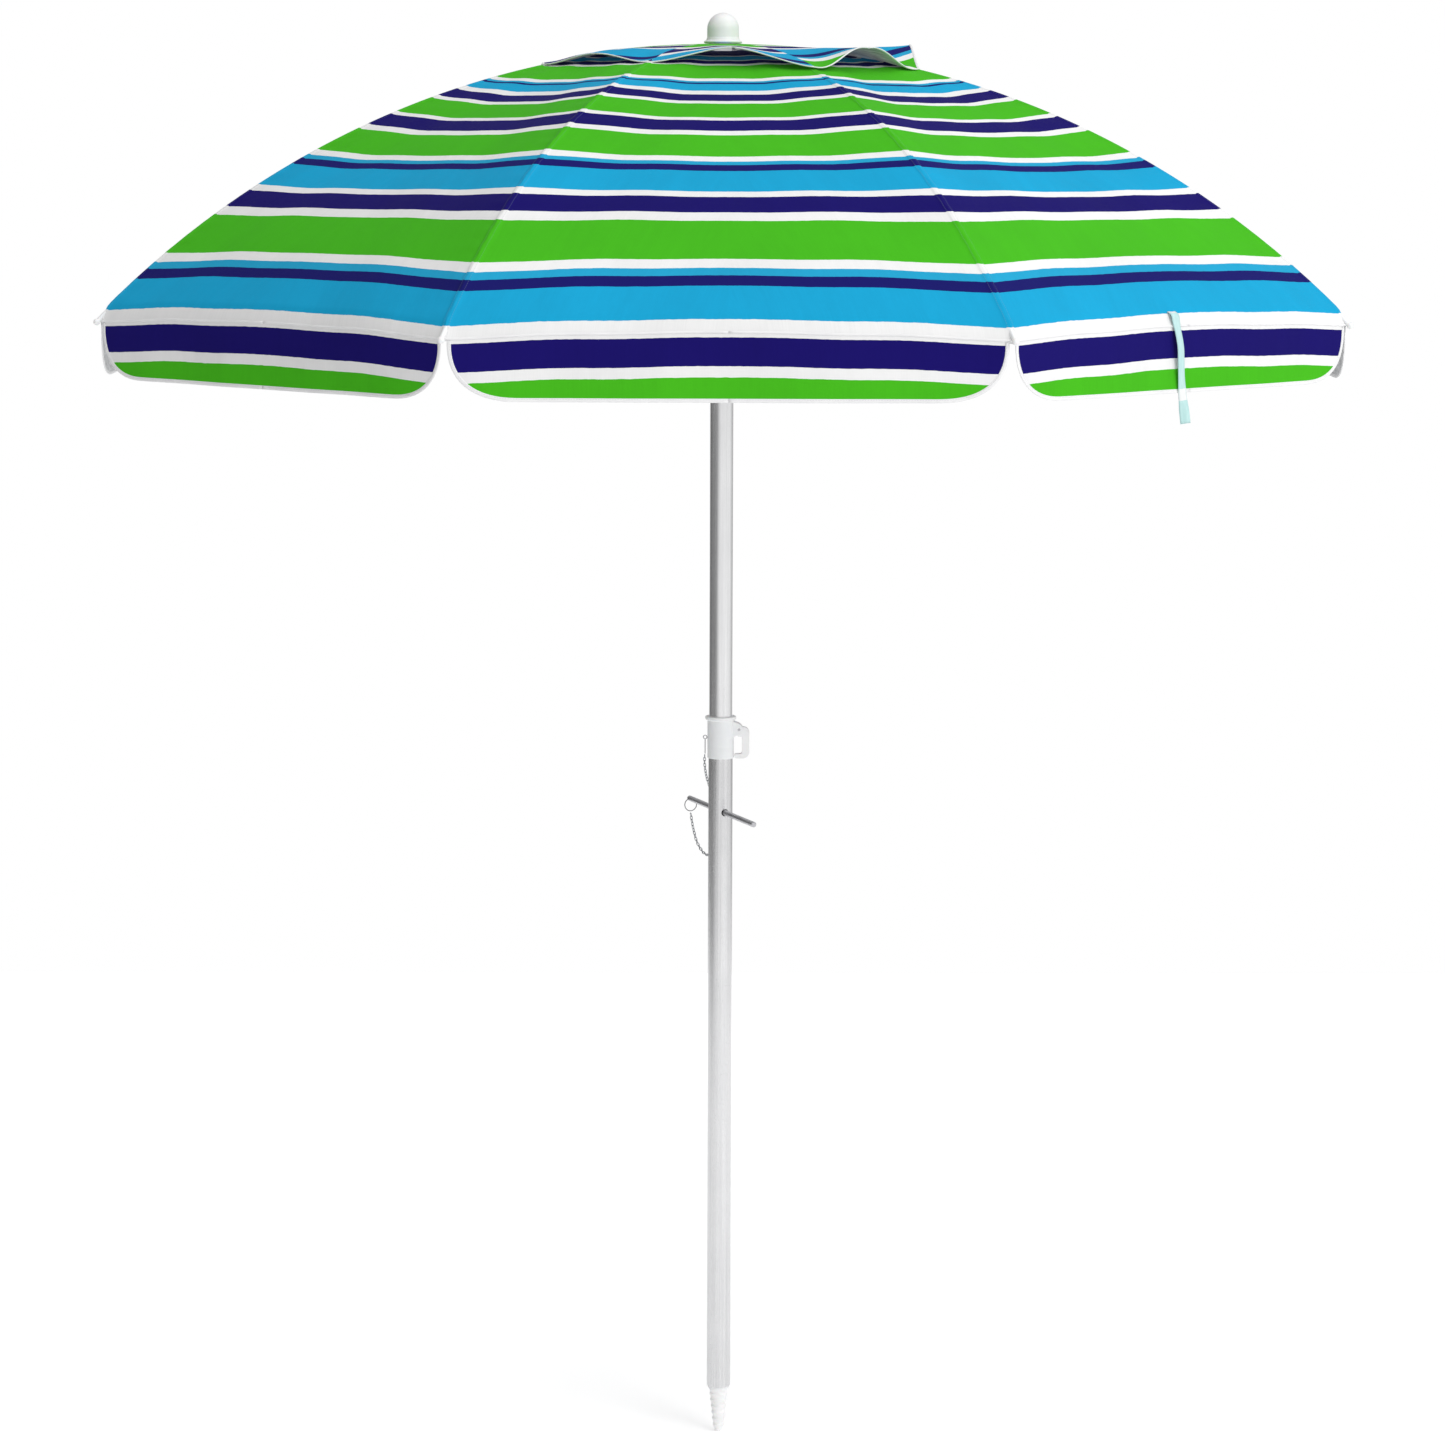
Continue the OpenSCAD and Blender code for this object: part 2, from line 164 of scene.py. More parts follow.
def grid_shell(points, normals, uv, thick, flip):
    """A closed two-layer sheet from a grid of points: outer layer, inner layer, and the edge between."""
    rows, cols = points.shape[:2]
    n = rows * cols
    inner = points - normals * thick
    verts = np.concatenate([points.reshape(-1, 3), inner.reshape(-1, 3)])
    norms = np.concatenate([normals.reshape(-1, 3), -normals.reshape(-1, 3)])
    uvs = np.concatenate([uv.reshape(-1, 2), uv.reshape(-1, 2)])
    index = np.arange(n).reshape(rows, cols)
    a, b, c, d = index[:-1, :-1], index[:-1, 1:], index[1:, 1:], index[1:, :-1]
    outer = np.stack([a, b, c, d], -1).reshape(-1, 4)
    under = np.stack([a, d, c, b], -1).reshape(-1, 4) + n
    ring = np.concatenate([index[0, :], index[1:, -1], index[-1, -2::-1], index[-2:0:-1, 0]])
    after = np.roll(ring, -1)
    edge = np.stack([ring, ring + n, after + n, after], -1)
    faces = np.concatenate([outer, under, edge])
    if flip:
        faces = faces[:, ::-1]
    kinds = np.concatenate([np.zeros(len(outer)), np.ones(len(under)), np.zeros(len(edge))])
    return verts, faces, kinds.astype(int), uvs, norms


def join_shells(shells):
    """One vertex and face list from several shells."""
    at, out = 0, [[], [], [], [], []]
    for verts, faces, kinds, uvs, norms in shells:
        for store, part in zip(out, (verts, faces + at, kinds, uvs, norms)):
            store.append(part)
        at += len(verts)
    return [np.concatenate(part) for part in out]


def sweep(path, across, section, closed=False):
    """Verts and quads of a section (pairs along across and up) carried along a path."""
    path, across = np.asarray(path, float), np.asarray(across, float)
    if closed:
        along = unit(np.roll(path, -1, 0) - np.roll(path, 1, 0))
    else:
        along = unit(np.gradient(path, axis=0))
    across = unit(across - along * np.sum(across * along, -1, keepdims=True))
    up = np.cross(along, across)
    section = np.asarray(section, float)
    rings = path[:, None] + across[:, None] * section[None, :, :1] + up[:, None] * section[None, :, 1:2]
    n, m = rings.shape[:2]
    index = np.arange(n * m).reshape(n, m)
    lower = index if closed else index[:-1]
    upper = np.roll(index, -1, 0) if closed else index[1:]
    faces = [tuple(q) for q in np.stack(
        [lower, np.roll(lower, -1, 1), np.roll(upper, -1, 1), upper], -1).reshape(-1, 4)]
    if not closed:
        faces += [tuple(index[0, ::-1]), tuple(index[-1])]
    return rings.reshape(-1, 3), faces


def strip_uv(section, run):
    """Cloth coordinates of a swept section: across it, and along its path."""
    return np.stack([np.tile(section[:, 0], len(run)), np.repeat(run, len(section))], -1)


def round_section(w, t, sides=10):
    """A flattened oval, w wide and t thick, with squarish sides."""
    angles = np.linspace(0, 2 * math.pi, sides, endpoint=False)
    c, s = np.cos(angles), np.sin(angles)
    return np.stack([w / 2 * np.sign(c) * np.abs(c) ** 0.6, t / 2 * np.sign(s) * np.abs(s) ** 0.8], -1)


# ---- camera, floor and light ---------------------------------------------------------------------
def set_camera():
    """At eye height, 5.4 m in front of the pole, tipped down a little."""
    tilt, roll, pan = 8.45, -0.2, -0.53
    data = bpy.data.cameras.new("camera")
    data.lens = 93.55
    data.sensor_width = 36.0
    data.clip_end = 60.0
    cam = link_object("camera", data)
    cam.location = (-0.05, -5.385, 1.867)
    cam.rotation_euler = (math.radians(90 - tilt), math.radians(roll), math.radians(pan))
    bpy.context.scene.camera = cam


def set_floor():
    half, low = 3.2, -0.001
    mesh = bpy.data.meshes.new("floor")
    corners = [(-half, -half, low), (half, -half, low), (half, half, low), (-half, half, low)]
    mesh.from_pydata(corners, [], [(0, 1, 2, 3)])
    floor = link_object("floor", mesh)
    mesh.materials.append(floor_material())


def set_lamps():
    # name, kind, strength, size across (or the sun's angle), place, aim
    lamps = (
        ("key", "AREA", 75.0, 3.0, (3.2, -3.6, 4.2), (0, 0, 1.5)),
        ("top", "SUN", 0.55, 1.2, (0.5, -0.8, 6.0), (0, 0, 1.0)),
    )
    for name, kind, energy, size, place, aim in lamps:
        data = bpy.data.lights.new(name, kind)
        data.energy = energy
        if kind == "AREA":
            data.shape = "DISK"
            data.size = size
        else:
            data.angle = size
        lamp = link_object(name, data)
        lamp.location = place
        lamp.rotation_euler = (Vector(aim) - Vector(place)).to_track_quat("-Z", "Y").to_euler()


def falloff(tree, axis, start, end, from_level, to_level):
    """A smooth change of the studio's brightness with one axis of the direction it is seen in."""
    node = tree.nodes.new("ShaderNodeMapRange")
    node.interpolation_type = "SMOOTHSTEP"
    tree.links.new(axis, node.inputs["Value"])
    for key, value in (("From Min", start), ("From Max", end), ("To Min", from_level), ("To Max", to_level)):
        node.inputs[key].default_value = value
    return node.outputs[0]


def set_studio():
    """A white studio, dimmer on the left and behind, that shows plain white to the camera."""
    world = bpy.data.worlds.new("studio")
    bpy.context.scene.world = world
    world.use_nodes = True
    tree = world.node_tree
    tree.nodes.clear()
    out = tree.nodes.new("ShaderNodeOutputWorld")
    sky = tree.nodes.new("ShaderNodeBackground")
    place = tree.nodes.new("ShaderNodeTexCoord")
    axes = tree.nodes.new("ShaderNodeSeparateXYZ")
    tree.links.new(place.outputs["Generated"], axes.inputs[0])
    left = falloff(tree, axes.outputs[0], -0.85, -0.20, 0.26, 0.98)
    behind = falloff(tree, axes.outputs[1], 0.05, 0.75, 1.0, 0.55)
    both = tree.nodes.new("ShaderNodeMath")
    both.operation = "MULTIPLY"
    tree.links.new(left, both.inputs[0])
    tree.links.new(behind, both.inputs[1])
    sky.inputs["Color"].default_value = (1.0, 1.0, 1.0, 1.0)
    tree.links.new(both.outputs[0], sky.inputs["Strength"])
    seen = tree.nodes.new("ShaderNodeBackground")
    seen.inputs["Color"].default_value = (1.0, 1.0, 1.0, 1.0)
    seen.inputs["Strength"].default_value = 1.0
    path = tree.nodes.new("ShaderNodeLightPath")
    mix = tree.nodes.new("ShaderNodeMixShader")
    tree.links.new(path.outputs["Is Camera Ray"], mix.inputs[0])
    tree.links.new(sky.outputs[0], mix.inputs[1])
    tree.links.new(seen.outputs[0], mix.inputs[2])
    tree.links.new(mix.outputs[0], out.inputs["Surface"])
    bpy.context.scene.view_settings.view_transform = "Standard"


# ---- materials -----------------------------------------------------------------------------------
class Graph:
    """Short names for building one material's node tree."""

    def __init__(self, name, **settings):
        self.material = bpy.data.materials.new(name)
        self.material.use_nodes = True
        self.tree = self.material.node_tree
        self.tree.nodes.clear()
        self.bsdf = self.node("BsdfPrincipled")
        out = self.node("OutputMaterial")
        self.tree.links.new(self.bsdf.outputs[0], out.inputs["Surface"])
        for key, value in settings.items():
            self.bsdf.inputs[key.replace("_", " ")].default_value = value

    def node(self, kind):
        return self.tree.nodes.new("ShaderNode" + kind)

    def put(self, socket, value):
        if isinstance(value, bpy.types.NodeSocket):
            self.tree.links.new(value, socket)
        elif isinstance(value, (tuple, list)) and len(value) == 3 and socket.type == "RGBA":
            socket.default_value = (*value, 1.0)
        else:
            socket.default_value = value

    def math(self, op, a, b=0.0):
        n = self.node("Math")
        n.operation = op
        self.put(n.inputs[0], a)
        self.put(n.inputs[1], b)
        return n.outputs[0]

    def mix(self, fac, a, b, blend="MIX"):
        n = self.node("Mix")
        n.data_type, n.blend_type = "RGBA", blend
        self.put(n.inputs[0], fac)
        self.put(n.inputs[6], a)
        self.put(n.inputs[7], b)
        return n.outputs[2]

    def span(self, value, low, high, to_low=0.0, to_high=1.0):
        n = self.node("MapRange")
        for i, v in enumerate((value, low, high, to_low, to_high)):
            self.put(n.inputs[i], v)
        return n.outputs[0]

    def coords(self, scale=(1.0, 1.0, 1.0)):
        c = self.node("TexCoord")
        m = self.node("Mapping")
        self.tree.links.new(c.outputs["Object"], m.inputs["Vector"])
        m.inputs["Scale"].default_value = scale
        return m.outputs[0]

    def uv(self, scale=(1.0, 1.0, 1.0)):
        c = self.node("UVMap")
        c.uv_map = "cloth"
        m = self.node("Mapping")
        self.tree.links.new(c.outputs[0], m.inputs["Vector"])
        m.inputs["Scale"].default_value = scale
        return m.outputs[0]

    def split(self, vector):
        n = self.node("SeparateXYZ")
        self.put(n.inputs[0], vector)
        return n.outputs[0], n.outputs[1], n.outputs[2]

    def noise(self, vector, scale, detail=2.0, rough=0.5, distort=0.0):
        n = self.node("TexNoise")
        self.put(n.inputs["Vector"], vector)
        settings = (("Scale", scale), ("Detail", detail), ("Roughness", rough), ("Distortion", distort))
        for key, value in settings:
            n.inputs[key].default_value = value
        return n.outputs["Fac"]

    def cells(self, vector, scale):
        n = self.node("TexVoronoi")
        self.put(n.inputs["Vector"], vector)
        n.inputs["Scale"].default_value = scale
        return n.outputs["Distance"]

    def bump(self, height, strength, distance, under=None):
        n = self.node("Bump")
        n.inputs["Strength"].default_value = strength
        n.inputs["Distance"].default_value = distance
        self.put(n.inputs["Height"], height)
        if under is not None:
            self.put(n.inputs["Normal"], under)
        return n.outputs[0]

    def finish(self, color=None, rough=None, normal=None):
        for key, value in (("Base Color", color), ("Roughness", rough), ("Normal", normal)):
            if value is not None:
                self.put(self.bsdf.inputs[key], value)
        return self.material


def floor_material():
    g = Graph("studio_floor", Emission_Color=(1.0, 1.0, 1.0, 1.0), Emission_Strength=0.3)
    grain = g.noise(g.coords(), 6.0, 3.0)
    return g.finish(g.mix(grain, (0.90, 0.90, 0.905), (0.93, 0.93, 0.93)), g.span(grain, 0, 1, 0.75, 0.9))


def stitch_row(g, across, along, place, half_width, per_metre, share):
    """1 on the stitches of a dashed row that runs along the cloth, 0 elsewhere."""
    row = g.math("LESS_THAN", g.math("ABSOLUTE", g.math("SUBTRACT", across, place)), half_width)
    dash = g.math("LESS_THAN", g.math("FRACT", g.math("MULTIPLY", along, per_metre)), share)
    return g.math("MULTIPLY", row, dash)


def weave(g, across, along):
    """Height of a plain weave from two crossing sets of threads."""
    pitch = 0.0011
    turn = 2 * math.pi / pitch
    warp = g.math("SINE", g.math("MULTIPLY", across, turn))
    weft = g.math("SINE", g.math("MULTIPLY", along, turn))
    return g.math("MULTIPLY", warp, weft)


def striped_cloth():
    """Printed polyester: hard-edged stripes along the gore, a plain weave, seam stitches by the ribs."""
    g = Graph("printed_polyester", Sheen_Weight=0.01, Sheen_Roughness=0.45, Specular_IOR_Level=0.02)
    across, along, _ = g.split(g.uv())
    edge_wobble = g.math("MULTIPLY", g.math("SUBTRACT", g.noise(g.uv(), 90.0, 2.0), 0.5), 0.0012)
    place = g.math("ADD", along, edge_wobble)
    dye = (*LINEAR[STRIPES[0][1]], 1.0)
    for (end, _), (_, name) in zip(STRIPES, STRIPES[1:]):
        dye = g.mix(g.math("GREATER_THAN", place, end), dye, LINEAR[name])
    soft = g.noise(g.coords(), 7.0, 4.0, 0.55)
    fade = g.noise(g.uv((60.0, 6.0, 1.0)), 1.0, 3.0)
    thread = g.noise(g.uv((900.0, 25.0, 1.0)), 1.0, 2.0)
    tone = g.math("ADD", g.span(soft, 0.25, 0.75, 0.93, 1.03), g.span(fade, 0.2, 0.8, -0.025, 0.025))
    tone = g.math("ADD", tone, g.span(thread, 0.2, 0.8, -0.03, 0.03))
    shade = g.node("CombineColor")
    for socket in shade.inputs[:3]:
        g.put(socket, tone)
    color = g.mix(1.0, dye, shade.outputs[0], "MULTIPLY")
    # a row of lockstitch on each side of the seam
    stitch = stitch_row(g, g.math("ABSOLUTE", across), along, 0.0042, 0.00045, 290.0, 0.62)
    color = g.mix(g.math("MULTIPLY", stitch, 0.16), color, (0.30, 0.36, 0.42))
    threads = weave(g, across, along)
    pull = g.noise(g.uv((35.0, 35.0, 1.0)), 1.0, 4.0, 0.6, 0.6)
    fine = g.bump(threads, 0.22, 0.0002)
    crease = g.bump(pull, 0.35, 0.0016, fine)
    sewn = g.bump(stitch, 0.6, 0.0005, crease)
    return g.finish(color, g.span(soft, 0.2, 0.8, 0.52, 0.68), sewn)


def silver_lining():
    """The coated back of the cloth: crinkled silver film over the weave, with a painted glow in its own
    colour that brightens it where the lamps barely reach.
    """
    # Emission_Strength makes the film glow faintly: painted light on its shaded underside
    g = Graph("silver_coating", Metallic=0.25, Specular_IOR_Level=0.5, Emission_Strength=0.13)
    across, along, _ = g.split(g.uv())
    crinkle = g.noise(g.uv((70.0, 70.0, 1.0)), 1.0, 6.0, 0.62, 1.2)
    patch = g.noise(g.uv((9.0, 9.0, 1.0)), 1.0, 3.0)
    worn = g.cells(g.uv((130.0, 130.0, 1.0)), 1.0)
    color = g.mix(g.span(crinkle, 0.3, 0.7), (0.26, 0.265, 0.27), (0.74, 0.75, 0.76))
    color = g.mix(g.span(patch, 0.3, 0.7, 0.0, 0.3), color, (0.44, 0.445, 0.45))
    color = g.mix(g.span(worn, 0.0, 0.18, 0.25, 0.0), color, (0.62, 0.63, 0.64))
    # the painted glow takes the film's own colour
    g.put(g.bsdf.inputs["Emission Color"], color)
    threads = weave(g, across, along)
    fine = g.bump(threads, 0.15, 0.0002)
    return g.finish(color, g.span(crinkle, 0.25, 0.75, 0.34, 0.52), g.bump(crinkle, 0.7, 0.0022, fine))


def ribbon_tape(name, light, dark):
    """Woven tape: ribs across it and a row of stitches along it."""
    g = Graph(name, Sheen_Weight=0.15, Specular_IOR_Level=0.3)
    across, along, _ = g.split(g.uv())
    rib_pitch = 0.0013
    rib = g.math("SINE", g.math("MULTIPLY", along, 2 * math.pi / rib_pitch))
    grime = g.noise(g.coords(), 22.0, 4.0, 0.6)
    color = g.mix(g.span(grime, 0.3, 0.75, 0.0, 1.0), light, dark)
    stitch = stitch_row(g, across, along, 0.0036, 0.0004, 300.0, 0.6)
    color = g.mix(g.math("MULTIPLY", stitch, 0.35), color, (0.55, 0.55, 0.57))
    ribbed = g.bump(rib, 0.3, 0.0003)
    return g.finish(color, g.span(grime, 0.2, 0.8, 0.6, 0.8), g.bump(stitch, 0.5, 0.0004, ribbed))


def strap_webbing():
    """Pale aqua webbing in twill, with a white patch near its end and a white tab at its top."""
    twill_pitch, patch_start, patch_end, tab_end, selvedge_in = 0.0015, 0.104, 0.119, 0.006, 0.0046
    g = Graph("aqua_webbing", Sheen_Weight=0.2, Specular_IOR_Level=0.3)
    across, along, _ = g.split(g.uv())
    twill = g.math("SINE", g.math("MULTIPLY", g.math("ADD", across, along), 2 * math.pi / twill_pitch))
    soft = g.noise(g.uv((180.0, 40.0, 1.0)), 1.0, 3.0)
    aqua = g.mix(g.span(soft, 0.3, 0.7), (0.42, 0.66, 0.65), (0.53, 0.76, 0.75))
    below, above = g.math("GREATER_THAN", along, patch_start), g.math("LESS_THAN", along, patch_end)
    patch = g.math("MULTIPLY", below, above)
    tab = g.math("MAXIMUM", patch, g.math("LESS_THAN", along, tab_end))
    color = g.mix(tab, aqua, (0.80, 0.81, 0.81))
    selvedge = g.math("GREATER_THAN", g.math("ABSOLUTE", across), selvedge_in)
    color = g.mix(g.math("MULTIPLY", selvedge, 0.3), color, (0.40, 0.66, 0.66))
    return g.finish(color, g.span(soft, 0.2, 0.8, 0.58, 0.75), g.bump(twill, 0.45, 0.0003))


def moulded_plastic(name, light, dark):
    """White injection moulding: faint flow marks, fine grain and scuffs."""
    rough = 0.32
    g = Graph(name, Specular_IOR_Level=0.45, Coat_Weight=0.08, Coat_Roughness=0.25,
              Subsurface_Weight=0.04)
    place = g.coords()
    flow = g.noise(g.coords((14.0, 14.0, 45.0)), 1.0, 3.0, 0.5, 0.8)
    grain = g.noise(place, 900.0, 2.0)
    scuff = g.noise(place, 60.0, 5.0, 0.7)
    color = g.mix(g.span(flow, 0.3, 0.7), light, dark)
    color = g.mix(g.span(scuff, 0.62, 0.8, 0.0, 0.35), color, tuple(0.82 * c for c in dark))
    fine = g.bump(grain, 0.12, 0.0003)
    sheen = g.span(scuff, 0.3, 0.7, rough - 0.06, rough + 0.12)
    return g.finish(color, sheen, g.bump(flow, 0.1, 0.0008, fine))


def drawn_metal(name, light, dark, rough, streak=(420.0, 420.0, 3.0), speckle=0.0):
    """Drawn metal: long fine streaks along the part, and a speckled oxide where it is handled."""
    g = Graph(name, Metallic=1.0)
    lines = g.noise(g.coords(streak), 1.0, 4.0, 0.6)
    cloud = g.noise(g.coords(), 9.0, 4.0, 0.6)
    spots = g.cells(g.coords(), 420.0)
    color = g.mix(g.span(lines, 0.25, 0.75), dark, light)
    color = g.mix(g.span(cloud, 0.35, 0.75, 0.0, 0.35), color, tuple(0.9 * c for c in dark))
    color = g.mix(g.span(spots, 0.0, 0.35, speckle, 0.0), color, tuple(0.72 * c for c in dark))
    streaked = g.span(lines, 0.2, 0.8, rough - 0.06, rough + 0.06)
    pitted = g.span(spots, 0.0, 0.3, speckle * 0.2, 0.0)
    fine = g.bump(lines, 0.18, 0.0002)
    pits = g.bump(spots, 0.12 * min(1.0, speckle * 3 + 0.2), 0.0002, fine)
    return g.finish(color, g.math("ADD", streaked, pitted), pits)


set_camera()
set_floor()
set_lamps()
set_studio()
CLOTH = striped_cloth()
LINING = silver_lining()
BINDING = ribbon_tape("white_binding", (0.82, 0.82, 0.82), (0.74, 0.74, 0.75))
WEBBING = strap_webbing()
PLASTIC = moulded_plastic("white_moulding", (0.84, 0.84, 0.84), (0.78, 0.78, 0.785))
ALUMINIUM = drawn_metal("satin_aluminium", (0.86, 0.86, 0.865), (0.72, 0.72, 0.73), 0.24)
TUBE_LOW = drawn_metal("worn_aluminium", (0.76, 0.76, 0.765), (0.58, 0.58, 0.59), 0.26, speckle=0.35)
STEEL = drawn_metal("bright_steel", (0.58, 0.58, 0.60), (0.38, 0.38, 0.40), 0.26, (300.0, 300.0, 12.0), 0.1)
# for small steel parts the streaks' scales are given too
BAR_STEEL = drawn_metal("bar_steel", (0.62, 0.62, 0.64), (0.44, 0.44, 0.46), 0.36, (200.0, 200.0, 200.0), 0.2)
CHAIN_STEEL = drawn_metal("chain_steel", (0.50, 0.51, 0.53), (0.22, 0.23, 0.25), 0.20,
                          (500.0, 500.0, 500.0), 0.1)
RING_STEEL = drawn_metal("ring_steel", (0.34, 0.34, 0.35), (0.20, 0.20, 0.21), 0.34,
                         (200.0, 200.0, 200.0), 0.2)
RIB_STEEL = drawn_metal("painted_rib", (0.55, 0.55, 0.57), (0.42, 0.42, 0.44), 0.36,
                        (160.0, 160.0, 160.0), 0.15)


# ---- canopy surface ------------------------------------------------------------------------------
def rib_profile(s):
    """Radius and height of the cloth over a rib, at arc length s from the crown."""
    r = DOME_R * np.sin(s / DOME_R)
    z = DOME_Z + DOME_R * np.cos(s / DOME_R)
    droop = np.maximum((s - (RIM_S - DROOP_RUN)) / DROOP_RUN, 0.0)
    return r, z - DROOP * droop * droop


def gore_beside(k, side):
    """The gore on one side of rib k. Gore k follows rib k, counting towards +X, and gore 8 is 0."""
    return (k + (side - 1) // 2) % GORES


def gore_surface(k, side, s, f):
    """Cloth point beside rib k: side -1 or +1, f from 0 at the rib to 1 in the middle of the gore.

    The cloth sags or bulges off the chord between the ribs, ripples, puckers by the seam, and is thicker
    on the seam itself, where it is folded.
    """
    ripple_h, pucker_h, seam_h = 0.0011, 0.0008, 0.0009
    s, f = np.broadcast_arrays(np.asarray(s, float), np.asarray(f, float))
    r, z = rib_profile(s)
    a0, a1 = rib_azimuth(k), rib_azimuth(k) + side * 2 * HALF
    h = f / 2
    x = r * ((1 - h) * math.cos(a0) + h * math.cos(a1))
    y = r * ((1 - h) * math.sin(a0) + h * math.sin(a1))
    sag = np.interp(s, [p[0] for p in SAG], [p[1] for p in SAG])
    bow = f * (2 - f)
    gore = gore_beside(k, side)
    away = np.sin(math.pi * f) ** 2
    ripple = ripple_h * np.sin(2 * math.pi * (1.4 * f + 1.7 * s + 0.13 * gore)) * away
    reach = f * r * math.sin(HALF)
    near_seam = np.exp(-reach / 0.022) * (1 - np.exp(-reach / 0.004))
    pucker = pucker_h * near_seam * np.sin(2 * math.pi * s / 0.031 + gore)
    seam = seam_h * (1 - smooth((reach - 0.0045) / 0.0018))
    return np.stack([x, y, z + sag * bow + ripple + pucker + seam], -1)


def surface_normals(point, s, f):
    """Outward normals of a surface function of s and f, by finite differences."""
    ds, df = 0.002, 0.004
    along = point(s + ds, f) - point(s - ds, f)
    side = point(s, np.minimum(f + df, 1.0)) - point(s, np.maximum(f - df, 0.0))
    n = unit(np.cross(along, side))
    return np.where(n[..., 2:3] < 0, -n, n)


def side_columns(reach):
    """Column places from the rib to the middle of the gore, close together by the seam."""
    near = np.array([0.0, 0.0025, 0.0045, 0.0054, 0.0063, 0.010])
    far = 0.010 + (reach - 0.010) * (np.linspace(0, 1, 12)[1:] ** 1.15)
    return np.concatenate([near, far]) / reach


# the strips that the canopy is cut into for folding end on edges of the printed stripes
ZONES = (DOME_R * math.asin(VENT_R / DOME_R), 0.246, 0.345, 0.443, 0.555, 0.635, 0.731, 0.790, 0.894, RIM_S)
ROW_STEP = 0.0062


def zone_width(s):
    """Width of a strip at arc length s, straight across from mid-gore to mid-gore."""
    return 2 * float(rib_profile(s)[0]) * math.sin(HALF)


def canopy_zone(k, index):
    """One strip of the canopy about rib k, from the middle of one gore to the middle of the next."""
    low, high = ZONES[index], ZONES[index + 1]
    rows = np.linspace(low, high, max(4, int(round((high - low) / ROW_STEP))) + 1)
    f = side_columns(zone_width(low) / 2)[None, :]
    s = rows[:, None]
    shells = []
    for side in (-1, 1):
        def point(s, f, side=side):
            return gore_surface(k, side, s, f)
        pts = point(s, f)
        nrm = surface_normals(point, *np.broadcast_arrays(s, f))
        width = rib_profile(rows)[0][:, None] * math.sin(HALF) * f
        uv = np.stack(np.broadcast_arrays(width * side, s), -1)
        shells.append(grid_shell(pts, nrm, uv, CLOTH_T, side > 0))
    verts, faces, kinds, uvs, norms = join_shells(shells)
    obj = mesh_object(f"canopy_{k}_{index + 1}", verts, faces, [CLOTH, LINING], kinds, uvs, norms)
    fold_with_rib(obj, k)
    return obj


canopy_pieces = [canopy_zone(k, i) for k in range(1, GORES + 1) for i in range(len(ZONES) - 1)]
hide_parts("canopy")


# ---- hem cord and valance ------------------------------------------------------------------------
def hem_line(k, side, f):
    """Points of the canopy's edge beside rib k, f from 0 at the rib to 1 in the middle of the gore."""
    return gore_surface(k, side, np.full_like(f, RIM_S), f)


def valance_edge(reach):
    """Height of the valance's lower edge at this distance from the rib."""
    along = np.clip((VALANCE_IN + CORNER_W - reach) / CORNER_W, 0.0, 1.0)
    return VALANCE_LOW + CORNER_H * (1 - np.maximum(1 - along ** 2.5, 0.0) ** 0.4)


def valance_side(k, side):
    """Grid of valance points, their normals and cloth coordinates, on one side of rib k."""
    corner = VALANCE_IN + CORNER_W * (1 - np.cos(np.linspace(0, math.pi / 2, 22))) ** 1.1
    reach = np.concatenate([corner, np.linspace(corner[-1], HALF_HEM, 24)[1:]])
    f = reach / HALF_HEM
    top = hem_line(k, side, f)
    drop = np.maximum(top[:, 2] - valance_edge(reach), 0.0015)
    t = np.linspace(0, 1, 15)[:, None]
    depth = t * drop[None, :]
    out = outward(rib_azimuth(k) + side * HALF)
    gore = gore_beside(k, side)
    # it flares out a little towards its lower edge, in slow waves
    full_depth, wave_length = 0.085, 0.23
    wave = 0.0022 * np.sin(2 * math.pi * (reach[None, :] / wave_length + 0.21 * gore)) * (depth / full_depth)
    flare = 0.0035 * (depth / full_depth) ** 1.5 + wave * np.sin(math.pi * f)[None, :] ** 2
    pts = top[None, :, :] + out * flare[..., None]
    pts[..., 2] -= depth
    pts += out * 0.0002
    uv = np.stack(np.broadcast_arrays(reach[None, :] * side, RIM_S + depth), -1)
    n = unit(np.cross(np.gradient(pts, axis=0), np.gradient(pts, axis=1)))
    n = np.where(np.sum(n * out, -1, keepdims=True) < 0, -n, n)
    # at the shallow corner, where the rows crowd together, the panel's own direction is truer
    good = np.sum(n * out, -1, keepdims=True) > 0.5
    return pts, np.where(good, n, out), uv


def fold_with_valance(obj, k):
    """Carry a piece on valance k."""
    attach(obj, f"valance_{k}")
    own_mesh(obj)


def make_valance(k, side):
    """The valance cloth and its binding from rib k to the middle of the gore on one side."""
    pts, nrm, uv = valance_side(k, side)
    label = f"{k}_{1 if side < 0 else 2}"
    verts, faces, kinds, uvs, norms = grid_shell(pts, nrm, uv, CLOTH_T, side > 0)
    cloth = mesh_object(f"valance_cloth_{label}", verts, faces, [CLOTH, LINING], kinds, uvs, norms)
    # the binding runs down the open side and along the lower edge, folded round the cloth
    tape_w, tape_t, tape_in, step = 0.0052, 0.0019, 0.0022, 0.006
    run = run_along(pts[-1])
    even_run = np.linspace(0, run[-1], int(run[-1] / step) + 2)
    even = at_distance(even_run, run, pts[-1])
    even_n = unit(at_distance(even_run, run, nrm[-1]))
    inward = unit(np.cross(even_n, unit(np.gradient(even, axis=0))))
    if inward[len(even) // 2, 2] < 0:
        inward = -inward
    line = even + inward * tape_in - even_n * (CLOTH_T / 2)
    section = round_section(tape_w, tape_t)
    verts, faces = sweep(line, inward, section)
    tape_uv = strip_uv(section, even_run) + [tape_w / 2, 0]
    tape = mesh_object(f"valance_binding_{label}", verts, faces, [BINDING], uvs=tape_uv)
    for piece in (cloth, tape):
        fold_with_valance(piece, k)
    return cloth


